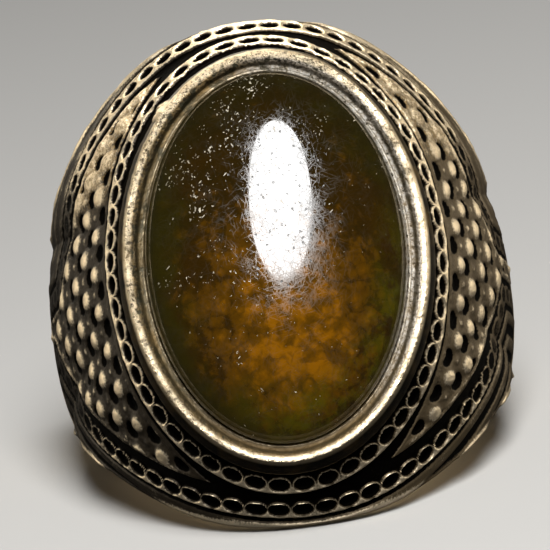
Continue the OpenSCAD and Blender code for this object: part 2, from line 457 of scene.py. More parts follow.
@dataclass(frozen=True)
class ReliefSizes:
    """Sizes of the cast relief, in millimetres; each is a named input of its tree."""

    pit_half_length: float = 0.52
    pit_half_width: float = 0.40
    pit_depth: float = 0.36
    rim_height: float = 0.03
    plate_height: float = 0.08
    rail_out: float = 0.43
    rail_height: float = 0.03
    recess: float = 0.15
    row_pitch: float = 1.28
    cell_pitch: float = 2.20
    boss_half_length: float = 0.66
    boss_half_width: float = 0.62
    boss_out: float = -0.24
    boss_height: float = 0.15
    slit_half_length: float = 0.60
    slit_half_width: float = 0.46
    slit_out: float = 0.56
    slit_depth: float = 0.32
    granule_half_width: float = 0.30
    granule_height: float = 0.07
    panel_floor: float = 0.03
    border_width: float = 0.34
    border_height: float = 0.06
    ridge_pitch: float = 1.30
    side_wear: float = 0.70


class Relief:
    """The relief's height in millimetres, worked out the same way by a shape's nodes and a finish's.

    East and north are millimetres from the stone's middle as drawn. A pair says where a change starts and
    ends, but LUMP_AT is a place, LUMP_SIZE its half sizes, and RIM_LINE a line and its half width.
    """

    INNER_PITCH = 1.23
    RIM_PITCH = 1.165
    PIT_LINE = 0.57
    RIM_PIT_LINE = 0.82
    UNEVEN = Grain(0.8, 2.0, 51.0)
    WORN_SIDE = (4.0, 8.0)
    BROAD_NORTH = (1.0, 8.5)
    SMALL_NORTH = (2.0, 11.0)
    SLIM_SOUTH = (-8.0, -2.0)
    PLAIN_NORTH = (-1.0, 2.5)
    TIP_NORTH = (3.6, 6.4)
    LUMP_AT = (-4.8, 8.3)
    LUMP_SIZE = (0.62, 0.95)
    LUMP_SLANT = 0.5
    PLATE_EDGE = (-0.12, 0.10)
    RING_EDGE = (1.20, 1.35)
    RIM_LINE = (1.13, 0.13)
    RIM_OUT = (-0.05, 0.30)
    RAIL_HALF = 0.11
    PIT_WALL = (0.72, 1.02)
    ROW_BOW = 0.30
    BOSS_FLANK = (0.30, 1.05)
    SLIT_WALL = (0.60, 1.0)
    GRANULE_FLANK = (0.1, 1.0)
    BORDER_FADE = (1.9, 2.3)
    INNER_END = (1.20, 1.30)
    RIM_END = (1.30, 1.42)
    RIM_CORNER = (0.0, 0.22)
    PANEL_WALL = (0.0, 0.10)
    STRIP_FLANK = (0.16, 0.36)
    STRIP_START = (-0.1, 0.05)
    STRIP_RISE = 0.02

    def __init__(self, sheet: Sheet, sizes: ReliefSizes | SimpleNamespace) -> None:
        """Reads the mesh's own measures.

        Args:
            sheet: The node tree that works the relief out.
            sizes: Its sizes, as numbers or as fields.
        """
        self.sizes = sizes
        inner_sine, inner_cosine, self.run = sheet.parts(sheet.attribute("inner_row"))
        rim_sine, rim_cosine, self.edge = sheet.parts(sheet.attribute("rim_row"))
        self.along, self.across, self.inside = sheet.parts(sheet.attribute("panel"))
        self.zone, self.bezel, self.from_rim = sheet.parts(sheet.attribute("cast"))
        self.inner_phase = inner_sine.turns(inner_cosine)
        self.rim_phase = rim_sine.turns(rim_cosine)
        self.place = sheet.attribute("drawn")
        self.east, self.north, _ = sheet.parts(self.place)
        self.uneven = sheet.noise(self.place, self.UNEVEN)
        self.shrink = 1.0 + self.uneven * 0.35 + self.north.ramp(*self.SMALL_NORTH) * 0.06
        self.side = abs(self.north).fall(*self.WORN_SIDE)
        self.broad = self.north.ramp(*self.BROAD_NORTH) * 0.5
        self.slim = self.north.fall(*self.SLIM_SOUTH)
        self.plain = self.north.ramp(*self.PLAIN_NORTH) * (0.75 + self.uneven * 0.8)
        self.tips = self.north.ramp(*self.TIP_NORTH) * self.inside.ramp(0.02, 0.12)
        self.lump = self.solder()

    def solder(self) -> Field:
        """1 on the lump of solder by the bezel's upper left, fading to 0 round it."""
        east, north = self.east - self.LUMP_AT[0], self.north - self.LUMP_AT[1]
        across, along = east - north * self.LUMP_SLANT, north + east * self.LUMP_SLANT
        reach = ellipse(across, self.LUMP_SIZE[0], along, self.LUMP_SIZE[1])
        return (reach + self.uneven * 1.6).fall(0.45, 1.05)

    def pit_row(self, phase: Field, out: Field, pitch: float, broad: Field, worn: Amount = 0.0) -> Field:
        """A row of oval pits, each rimmed on the stone's side, with a rail along the other side.

        Args:
            phase: Place along the row, in pitches from the nearest pit's middle.
            out: Distance outwards from the line of the pits.
            pitch: From pit to pit.
            broad: How much broader than its pits the row is.
            worn: How much of the pits' depth and rims is worn away.

        Returns:
            The row's height.
        """
        s = self.sizes
        reach = ellipse(phase * pitch, s.pit_half_length, out, s.pit_half_width) * self.shrink
        inward = out.fall(s.rail_out, s.rail_out + 0.12)
        plate = (out + broad * 1.15).ramp(*self.PLATE_EDGE) * inward
        plate = plate.most((reach - broad * 0.2 + self.slim * 0.12).fall(*self.RING_EDGE))
        rim = reach.ridge(*self.RIM_LINE) * plate * out.fall(*self.RIM_OUT) * (1.0 - broad)
        rail = out.ridge(s.rail_out, self.RAIL_HALF)
        kept = 1.0 - worn
        solid = plate * (s.plate_height + s.recess) + rim * kept * s.rim_height + rail * s.rail_height
        hollow = (reach - self.slim * 0.07).fall(*self.PIT_WALL)
        return solid - s.recess - hollow * kept * (s.pit_depth + s.plate_height)

    def cell(self, shift: float) -> tuple[Field, Field, Field]:
        """One of the two interleaved sets of panel cells.

        Args:
            shift: 0 for the first set, and 0.5 for the set that stands between its rows and cells.

        Returns:
            The long boss on the stone's side, the deep slit outside it, and the granule between cells.
        """
        s = self.sizes
        out = (self.across * 0.5 + shift).middle() * (s.row_pitch * 2.0)
        along = (self.along + shift).middle() * s.cell_pitch
        curved = out + along * along * self.ROW_BOW + self.uneven * 0.2
        boss = ellipse(along, s.boss_half_length, curved - s.boss_out, s.boss_half_width)
        slit = ellipse(along, s.slit_half_length, curved - s.slit_out, s.slit_half_width) * self.shrink
        between = abs(along) - 0.5 * s.cell_pitch
        granule = ellipse(between, s.granule_half_width, out, s.granule_half_width)
        return boss.fall(*self.BOSS_FLANK), slit.fall(*self.SLIT_WALL), granule.fall(*self.GRANULE_FLANK)

    def cell_field(self) -> Field:
        """Staggered cells of a side panel."""
        s = self.sizes
        boss, slit, granule = (one.most(other) for one, other in zip(self.cell(0.0), self.cell(0.5)))
        return boss * s.boss_height - slit * s.slit_depth + granule * s.granule_height

    def panel(self) -> Field:
        """A side panel: its raised border, and the cells inside."""
        s = self.sizes
        border = self.inside.fall(s.border_width * 0.8, s.border_width * 1.35)
        border = border * self.run.ramp(*self.BORDER_FADE)
        cells = self.cell_field() * self.inside.ramp(s.border_width * 0.4, s.border_width * 1.2)
        floor = self.tips * (s.panel_floor + 0.05 + self.uneven * 0.2) - s.panel_floor
        return border * s.border_height + cells + floor

    def height(self) -> Field:
        """The whole relief, as a height over the plain cast face."""
        s = self.sizes
        inner_out = (self.run - self.PIT_LINE - self.broad * 0.10) * (1.0 + self.broad * 0.5)
        inner = self.pit_row(self.inner_phase, inner_out, self.INNER_PITCH, self.broad * 0.75)
        rim_out = self.RIM_PIT_LINE - self.edge
        worn = self.side * s.side_wear
        outer = self.pit_row(self.rim_phase, rim_out, self.RIM_PITCH, self.broad, worn)
        outer = (outer + s.recess) * (1.0 - worn * 0.6)
        height = self.run.fall(*self.INNER_END) * (inner + s.recess)
        height = height + self.edge.fall(*self.RIM_END) * outer * self.edge.ramp(*self.RIM_CORNER)
        height = height + self.inside.ramp(*self.PANEL_WALL) * (self.panel() + s.recess)
        ridges = ((s.rail_out - rim_out) / s.ridge_pitch).middle()
        strips = abs(ridges).fall(*self.STRIP_FLANK).most(self.plain)
        height = height + self.edge.fall(*self.STRIP_START) * strips * (s.recess + self.STRIP_RISE)
        return (height - s.recess * self.from_rim) * self.zone


class MeshMaker:
    """Gathers points, faces and named measures, and makes one closed mesh of them."""

    PLAIN = {
        "out": (0, 0, 0),
        "inner_row": (0, 1, 9),
        "rim_row": (0, 1, 9),
        "panel": (0, 0, -9),
        "cast": (0, 0, 0),
    }

    def __init__(self) -> None:
        """Starts with nothing."""
        self.points: list[np.ndarray] = []
        self.measures: dict[str, list[np.ndarray]] = {name: [] for name in self.PLAIN}
        self.faces: list[tuple[int, ...]] = []
        self.count = 0

    def add(self, points: np.ndarray, **measures: np.ndarray) -> np.ndarray:
        """Adds points with their measures.

        Args:
            points: Points in any grid, as drawn.
            measures: A vector for each point, under its name.

        Returns:
            The points' numbers, in the same grid.
        """
        flat = points.reshape(-1, 3)
        self.points.append(flat)
        for name, plain in self.PLAIN.items():
            rows = measures.get(name, np.tile(np.array(plain, float), (len(flat), 1)))
            self.measures[name].append(np.asarray(rows, float).reshape(-1, 3))
        numbers = np.arange(self.count, self.count + len(flat)).reshape(points.shape[:-1])
        self.count += len(flat)
        return numbers

    def grid(self, numbers: np.ndarray, closed: bool) -> None:
        """Covers a grid of points with quads.

        Args:
            numbers: Rows of point numbers.
            closed: Whether each row is a ring.
        """
        if closed:
            numbers = np.hstack([numbers, numbers[:, :1]])
        corners = numbers[:-1, :-1], numbers[:-1, 1:], numbers[1:, 1:], numbers[1:, :-1]
        self.faces += list(zip(*(corner.ravel().tolist() for corner in corners)))

    def bridge(self, one: Sequence[int], other: Sequence[int], closed: bool) -> None:
        """Joins two rows that have different numbers of points.

        Args:
            one: Point numbers of the first row.
            other: Point numbers of the second row.
            closed: Whether the rows are rings.
        """
        one, other = list(one), list(other)
        if closed:
            one, other = one + one[:1], other + other[:1]
        i = j = 0
        while i < len(one) - 1 or j < len(other) - 1:
            step_one = (i + 1) / (len(one) - 1)
            step_other = (j + 1) / (len(other) - 1)
            if j == len(other) - 1 or (i < len(one) - 1 and step_one <= step_other):
                self.faces.append((one[i], one[i + 1], other[j]))
                i += 1
            else:
                self.faces.append((one[i], other[j + 1], other[j]))
                j += 1

    def fan(self, ring: Sequence[int], middle: int) -> None:
        """Closes a ring of points over a middle point."""
        ring = list(ring)
        self.faces += [(a, b, middle) for a, b in zip(ring, ring[1:] + ring[:1])]

    def build(self, name: str, hole: FingerHole) -> bpy.types.Object:
        """Makes the object, laid in the frame.

        Args:
            name: The object's name.
            hole: The finger hole that it is laid round.

        Returns:
            The object, with the points as drawn kept under "drawn".
        """
        drawn = np.vstack(self.points)
        mesh = bpy.data.meshes.new(name)
        mesh.from_pydata(hole.place(drawn).tolist(), [], self.faces)
        kept = {measure: np.vstack(rows) for measure, rows in self.measures.items()}
        kept["out"] = hole.turn(kept["out"])
        kept["drawn"] = drawn
        for measure, rows in kept.items():
            layer = mesh.attributes.new(measure, "FLOAT_VECTOR", "POINT")
            layer.data.foreach_set("vector", rows.ravel())
        work = bmesh.new()
        work.from_mesh(mesh)
        bmesh.ops.recalc_face_normals(work, faces=work.faces)
        if work.calc_volume(signed=True) < 0:
            bmesh.ops.reverse_faces(work, faces=work.faces)
        for face in work.faces:
            face.smooth = True
        work.to_mesh(mesh)
        work.free()
        made = bpy.data.objects.new(name, mesh)
        bpy.context.scene.collection.objects.link(made)
        return made


@dataclass(frozen=True)
class SilverFinish:
    """Cast silver, worn bright on the high places and blackened in the recesses.

    Places on the bezel are shares of its section, from the seat's floor over the crest to the foot. A line
    is its middle and half width, and another pair says where a change starts and ends. The bump is its
    strength and its depth in millimetres, here and on the stone.
    """

    bright: Colour = (0.84, 0.70, 0.49)
    # worn and deep are the unpolished metal's tones; they also carry painted shade, deep on the panels' left
    # and worn on the slope towards the south
    worn: Colour = (0.080, 0.057, 0.029)
    deep: Colour = (0.024, 0.017, 0.009)
    tan: Colour = (0.21, 0.135, 0.050)
    silver: Colour = (0.46, 0.43, 0.38)
    moss: Colour = (0.036, 0.031, 0.014)
    black: Colour = (0.0022, 0.0017, 0.0012)
    coarse: Grain = Grain(0.9, 4.0, 3.0)
    grain: Grain = Grain(9.0, 3.0, 8.0, 0.6)
    speckle: Grain = Grain(6.5, 4.0, 17.0, 0.7)
    ripple: Grain = Grain(1.9, 4.0, 19.0, 0.6)
    polished_from: Range = (-0.11, -0.04)
    bright_at: float = 0.10
    # Painted shade towards the south: full south of the first place along the finger, gone north of the
    # second
    under_south: Range = (-9.0, -4.0)
    seat_end: Range = (0.0, 0.05)
    slope_end: Range = (0.60, 0.70)
    lip_line: Range = (0.335, 0.03)
    groove_line: Range = (0.385, 0.03)
    shade_line: Range = (0.525, 0.085)
    crest_start: Range = (0.46, 0.56)
    crest_end: Range = (0.76, 0.84)
    flank_start: Range = (0.80, 0.85)
    rough: float = 0.46
    bump: Range = (0.7, 0.04)

    def make(self, sizes: ReliefSizes) -> bpy.types.Material:
        """Makes the material.

        Args:
            sizes: The relief's sizes, which say where the recesses are.

        Returns:
            The material.
        """
        material, sheet = new_material("oxidised_silver")
        coat = SilverCoat(sheet, self, Relief(sheet, sizes))
        inputs = {"Base Color": coat.colour(), "Roughness": coat.roughness(), "Metallic": coat.metallic()}
        dress(sheet, inputs | {"Normal": sheet.bump(coat.unevenness(), *self.bump)})
        return material


class SilverCoat:
    """Where the silver is bright, stained or black, each from 0 to 1, and what follows for its look."""

    def __init__(self, sheet: Sheet, finish: SilverFinish, relief: Relief) -> None:
        """Works the places out.

        Args:
            sheet: The material's tree.
            finish: The colours and places.
            relief: The relief under the finish.
        """
        self.sheet, self.finish, self.relief = sheet, finish, relief
        grains = (finish.coarse, finish.grain, finish.speckle, finish.ripple)
        self.coarse, self.grain, self.speckle, self.ripple = (sheet.noise(relief.place, g) for g in grains)
        x, y, bezel = relief.east, relief.north, relief.bezel
        self.rubbed = (self.coarse + (y - x) * 0.02).ramp(-0.12, 0.16)
        # Painted shade: 1 towards the south, where the metal faces away from the light
        self.under = y.fall(*finish.under_south)
        height = relief.height() + self.grain * 0.18 + self.coarse * 0.14
        self.polish = height.ramp(*finish.polished_from)
        # Painted shade: towards the south the bright threshold is raised, so only rims and rails stay bright
        # there
        shine = height.ramp(self.under * 0.03, finish.bright_at + self.under * 0.02)
        shine = shine * (1.0 - relief.side * relief.edge.fall(1.2, 1.4) * 0.75)
        self.shine = shine.most(relief.zone.fall(0.0, 0.2))
        self.slope = bezel.ramp(*finish.seat_end) * bezel.fall(*finish.slope_end)
        self.groove = bezel.ridge(*finish.groove_line)
        self.shade = bezel.ridge(*finish.shade_line) * (0.25 + 0.65 * self.coarse.ramp(-0.15, 0.10))
        self.flank = bezel.ramp(*finish.flank_start)
        self.crest = bezel.ramp(*finish.crest_start) * bezel.fall(*finish.crest_end)
        self.stain = self.slope * (1.0 - bezel.ridge(*finish.lip_line) * 0.8)
        # Painted highlight: the bezel's slope is lighter on its right and towards the top, broken into
        # patches by noise
        bare = (x * 0.5 + y.most(0.0) * 0.26 + self.coarse * 5.0).ramp(1.4, 3.2)
        self.bare = bare * self.slope * (1.0 - self.shade * 0.5)

    def colour(self) -> Socket:
        """The metal's colour: bright or dark by height, stained on the bezel and black in the pits, with
        painted shade towards the south, on the panels' left and on the slope's left, and a painted highlight
        on the slope's right and top.
        """
        f, relief, speckle = self.finish, self.relief, self.speckle
        # Painted shade: the panel floor darkens towards the left, with random tone from the noise
        floor_share = (relief.east * 0.08 + 0.5 + self.coarse * 1.4).ramp(0.0, 1.0)
        floor = self.sheet.blend(floor_share, f.deep, f.worn)
        # Painted shade: the left of the bezel's slope is darkened towards moss
        left = relief.east.fall(-5.5, -1.5) * (0.30 + 0.50 * self.coarse.ramp(-0.2, 0.1))
        pits = speckle.fall(-0.09, 0.0) * (self.crest * (0.28 + self.rubbed * 0.52) + 0.05)
        dull = speckle.ramp(-0.04, 0.08) * self.crest * (0.16 + self.rubbed * 0.22)
        dull = dull.most(relief.zone.fall(0.0, 0.4) * self.coarse.ramp(-0.05, 0.25) * 0.5)
        rust = self.ripple.fall(-0.10, 0.0) * self.rubbed * (self.crest * 0.45 + self.slope * 0.75)
        metal = self.sheet.layers(floor, (
            (self.shine, f.bright),
            (self.stain, f.tan),
            (self.slope * left, f.moss),
            # Painted highlight: bright silver, with dark specks, on the slope's right and top
            (self.bare * (0.35 + speckle.ramp(-0.10, 0.10) * 0.65), f.silver),
            (self.bare * speckle.fall(-0.14, -0.02), f.black),
            ((self.shade + self.groove * 0.7).least(1.0) * self.slope, f.moss),
            # Painted shade on the bezel's slope towards the south
            (self.slope * self.under * 0.45, f.worn),
            ((pits + self.flank * (1.0 - relief.lump) * 0.99).least(1.0), f.black),
            (dull, f.tan),
            (rust, f.moss),
            (relief.tips * speckle.ramp(-0.06, 0.06) * 0.7, f.tan),
        ))
        colour = self.sheet.blend(self.polish.most(relief.lump), f.black, metal)
        return self.sheet.blend(relief.lump * (0.3 + speckle.ramp(-0.08, 0.05) * 0.7), colour, f.bright)

    def roughness(self) -> Field:
        """How rough the metal is: most in the recesses, least in glints on the bezel."""
        glints = self.speckle.ramp(0.03, 0.12) * (self.crest + self.slope * 0.6)
        rough = self.finish.rough + (1.0 - self.polish) * 0.3 + self.coarse * 0.2 + self.stain * 0.08
        return rough - glints * 0.22

    def metallic(self) -> Field:
        """How free the metal is of tarnish."""
        return 1.0 - self.stain * 0.55 - (1.0 - self.shine) * self.polish * 0.35

    def unevenness(self) -> Field:
        """The height of its fine unevenness, strongest on the crest, the lump and the panels."""
        relief = self.relief
        rugged = self.crest * (1.2 + self.rubbed * 3.4) + self.bare * 2.2 + relief.lump * 3.0
        rugged = rugged + relief.tips * 1.2 + relief.inside.ramp(0.0, 0.2) * 1.2
        wave = (self.ripple + 0.5) * (self.crest + self.slope) * 6.0
        return self.grain * 0.7 + (self.speckle + 0.5) * (0.4 + rugged) + wave


@dataclass(frozen=True)
class Strokes:
    """Short strokes of one direction, one to a cell.

    The turn is in degrees from the finger, the pitch is a cell's width and length in millimetres, the size is
    in shares of a cell, and the share says how many cells have a stroke.
    """

    turn: float
    pitch: Range
    size: float
    share: float = 1.0


@dataclass(frozen=True)
class AgateFinish:
    """Polished olive and amber agate, mottled inside, with fine scratches and white specks on top.

    Each place is a middle and two half sizes, across and along the finger.
    """

    amber: Colour = (0.142, 0.053, 0.0004)
    honey: Colour = (0.053, 0.022, 0.0004)
    brown: Colour = (0.0175, 0.0080, 0.0003)
    olive: Colour = (0.019, 0.0155, 0.0006)
    leaf: Colour = (0.050, 0.046, 0.0006)
    dark: Colour = (0.0060, 0.0050, 0.0008)
    speck: Colour = (0.56, 0.50, 0.39)
    nick: Colour = (0.010, 0.009, 0.006)
    outline: tuple[Range, Range] = ((0.0, 0.0), (6.5, 9.45))
    # Painted glow: the lower middle, lightened towards amber as if lit through the stone
    amber_place: tuple[Range, Range] = ((0.0, -4.7), (6.2, 8.4))
    nick_place: tuple[Range, Range] = ((0.6, 1.8), (3.2, 5.2))
    haze_place: tuple[Range, Range] = ((1.6, -0.4), (2.8, 4.6))
    cloud: Grain = Grain(0.26, 5.0, 2.0, 0.6)
    mottle: Grain = Grain(0.9, 5.0, 5.0, 0.65)
    dapple: Grain = Grain(2.3, 3.0, 6.0, 0.6)
    fine: Grain = Grain(5.0, 3.0, 9.0, 0.6)
    crowd: Grain = Grain(0.42, 2.0, 21.0)
    cluster: Grain = Grain(1.1, 1.0, 22.0)
    chip: Grain = Grain(4.6, 4.0, 23.0, 0.75)
    bend: Grain = Grain(0.7, 1.0, 41.0)
    gate: Grain = Grain(0.9, 3.0, 42.0)
    patch_scale: float = 1.05
    pebble_scale: float = 2.5
    net_scale: float = 0.95
    chip_turn: float = 25.0
    rough: float = 0.035
    refraction: float = 1.54
    bump: Range = (0.3, 0.02)
    specks: tuple[Strokes, ...] = (
        Strokes(15.0, (0.55, 2.20), 0.070, 0.42),
        Strokes(-50.0, (0.32, 1.30), 0.080, 0.42),
        Strokes(35.0, (0.20, 0.60), 0.110, 0.30),
        Strokes(80.0, (0.15, 0.18), 0.130, 0.26),
    )
    nicks: tuple[Strokes, ...] = (
        Strokes(-25.0, (0.62, 0.80), 0.095, 0.60),
        Strokes(60.0, (0.30, 0.36), 0.10, 0.35),
    )
    scratch_turns: tuple[float, ...] = (8.0, -17.0, 34.0, -46.0, 63.0, -78.0)
    scratch_pitch: Range = (0.062, 1.20)
    scratch_size: float = 0.34

    def make(self) -> bpy.types.Material:
        """Makes the material."""
        material, sheet = new_material("agate")
        coat = AgateCoat(sheet, self)
        specks, nicks, scratches = coat.specks(), coat.nicks(), coat.scratches()
        colour = sheet.layers(coat.body_colour(), (
            ((specks * 0.85 + scratches * 0.006).least(1.0), self.speck),
            (nicks, self.nick),
        ))
        dress(sheet, {
            "Base Color": colour,
            "Roughness": self.rough + scratches * 0.22 + specks * 0.4 + nicks * 0.22,
            "IOR": self.refraction,
            "Normal": sheet.bump(1.0 - specks - nicks - scratches * 0.06, *self.bump),
        })
        return material


class AgateCoat:
    """The stone's colours and marks, as nodes."""

    def __init__(self, sheet: Sheet, finish: AgateFinish) -> None:
        """Reads where each point is.

        Args:
            sheet: The material's tree.
            finish: The colours, places and strokes.
        """
        self.sheet, self.finish = sheet, finish
        self.place = sheet.attribute("drawn")
        self.x, self.y, _ = sheet.parts(self.place)
        self.fine = sheet.noise(self.place, finish.fine)

    def from_place(self, place: tuple[Range, Range]) -> Field:
        """Distance from a place's middle, 1 on its edge."""
        (x, y), (half_width, half_length) = place
        return ellipse(self.x - x, half_width, self.y - y, half_length)

    def body_colour(self) -> Socket:
        """The stone's colour: amber patches in a dark net below, lightened there by a painted glow, olive at
        the edge, a painted leaf-green glow by the lower right edge, and darker towards the top.
        """
        f, sheet = self.finish, self.sheet
        cloud, mottle = sheet.noise(self.place, f.cloud), sheet.noise(self.place, f.mottle)
        stray = sheet.node("ShaderNodeTexNoise", {"Vector": self.place, "Scale": 0.9, "Detail": 4.0})
        inputs = {0: self.place, 1: stray.outputs["Color"]}
        bent = sheet.node("ShaderNodeVectorMath", inputs, operation="ADD").outputs[0]
        dapple = sheet.noise(bent, f.dapple)
        patch, tints = sheet.cells(bent, f.patch_scale)
        pebble, _ = sheet.cells(bent, f.pebble_scale)
        net, _ = sheet.cells(bent, f.net_scale, "DISTANCE_TO_EDGE")
        rim = self.from_place(f.outline)
        # Painted glow in the lower middle, over the stone's own amber patches and cells
        light = self.from_place(f.amber_place).fall(0.05, 1.20) * 0.92 + 0.31
        light = light + cloud * 1.2 + mottle * 1.3 + (tints[0] - 0.5) * 0.22
        light = light - patch * 0.50 - pebble * 0.38 + dapple * 0.7
        green = (rim * 1.5 - 0.84 + cloud * 1.5 + mottle * 0.4 - self.x * 0.02).ramp(0.2, 0.75)
        glow = rim.ramp(0.66, 0.92) * (self.x * 0.9 - self.y * 0.8).ramp(2.5, 8.5) * mottle.ramp(-0.1, 0.1)
        top = (self.y * 0.070 + 0.22 + cloud - mottle * 0.7).ramp(0.10, 0.95)
        lines = net.fall(0.0, 0.09) * dapple.ramp(-0.08, 0.12)
        return sheet.layers(f.brown, (
            (light.ramp(0.0, 0.5), f.honey),
            (light.ramp(0.45, 1.05), f.amber),
            (green * 0.85, f.olive),
            (glow * 0.55, f.leaf),
            (top * 0.72, f.dark),
            (lines * 0.32, f.dark),
        ))

    def dashes(self, x: Field, y: Field, strokes: Strokes) -> tuple[Field, list[Field]]:
        """Short strokes of one direction.

        Args:
            x: The place across the finger.
            y: The place along the finger.
            strokes: Their direction and sizes.

        Returns:
            1 in a stroke, and three random numbers for each cell.
        """
        c, s = float(cosine(strokes.turn)), float(sine(strokes.turn))
        width, length = strokes.pitch
        spot = {"X": (x * c + y * s) / width, "Y": (y * c - x * s) / length}
        vector = self.sheet.node("ShaderNodeCombineXYZ", spot).outputs[0]
        distance, chance = self.sheet.cells(vector, 1.0, flat=True)
        return distance.fall(strokes.size * 0.6, strokes.size), chance

    def specks(self) -> Field:
        """White chips and dust, of several sizes, in crowds, mostly over the upper half."""
        f, sheet = self.finish, self.sheet
        crowd = sheet.noise(self.place, f.crowd).ramp(-0.08, 0.16)
        crowd = crowd * (0.35 + 0.65 * sheet.noise(self.place, f.cluster).ramp(-0.04, 0.10))
        crowd = crowd * (0.22 + 0.78 * (self.y - self.x * 0.55).ramp(-6.0, 5.0))
        bent_x, bent_y = self.x + self.fine * 0.34, self.y + self.fine * 0.26
        turned = sheet.node("ShaderNodeMapping", {"Vector": self.place, "Scale": (1.0, 0.7, 1.0)})
        turned.inputs["Rotation"].default_value[2] = math.radians(f.chip_turn)
        ragged = sheet.noise(turned.outputs["Vector"], f.chip)
        spots = [(ragged + crowd * 0.095).ramp(0.190, 0.205)]
        for strokes in f.specks:
            spot, chance = self.dashes(bent_x, bent_y, strokes)
            present = (chance[0] - 1.0 + strokes.share * crowd).ramp(0.0, 0.01)
            spots.append(spot * present * (0.25 + 0.75 * chance[1]))
        return reduce(Field.most, spots)

    def nicks(self) -> Field:
        """Small dark dents, which show where the stone shines."""
        bent_x, bent_y = self.x + self.fine * 0.25, self.y - self.fine * 0.25
        near = self.from_place(self.finish.nick_place).fall(0.8, 1.0)
        spots = []
        for strokes in self.finish.nicks:
            spot, chance = self.dashes(bent_x, bent_y, strokes)
            spots.append(spot * (chance[2] - 1.0 + strokes.share).ramp(0.0, 0.01) * near)
        return reduce(Field.most, spots)

    def scratches(self) -> Field:
        """A mesh of fine rubbing marks in several directions, which hazes the shine's edge."""
        f = self.finish
        bend = self.sheet.noise(self.place, f.bend)
        bent_x, bent_y = self.x + bend * 0.25, self.y - bend * 0.25
        gate = self.sheet.noise(self.place, f.gate) + self.from_place(f.haze_place).fall(0.2, 1.0) * 0.22
        marks = []
        for turn in f.scratch_turns:
            stroke, chance = self.dashes(bent_x, bent_y, Strokes(turn, f.scratch_pitch, f.scratch_size))
            marks.append(stroke * (chance[0] + gate * 1.4).ramp(0.60, 1.05))
        return reduce(Field.most, marks)


@dataclass(frozen=True)
class RowCurve:
    """How far along the finger a row of pits lies from the stone's middle, from the top towards a side."""

    middle: float
    drop: float
    power: float

    def reach(self, share: np.ndarray) -> np.ndarray:
        """The distance at a share of the way to the side."""
        return self.middle - self.drop * share ** self.power


@dataclass(frozen=True)
class RimRow:
    """The row of pits along one rim: from pit to pit, the first pit's place in pitches, and its two arms."""

    pitch: float
    first: float
    right: RowCurve
    left: RowCurve


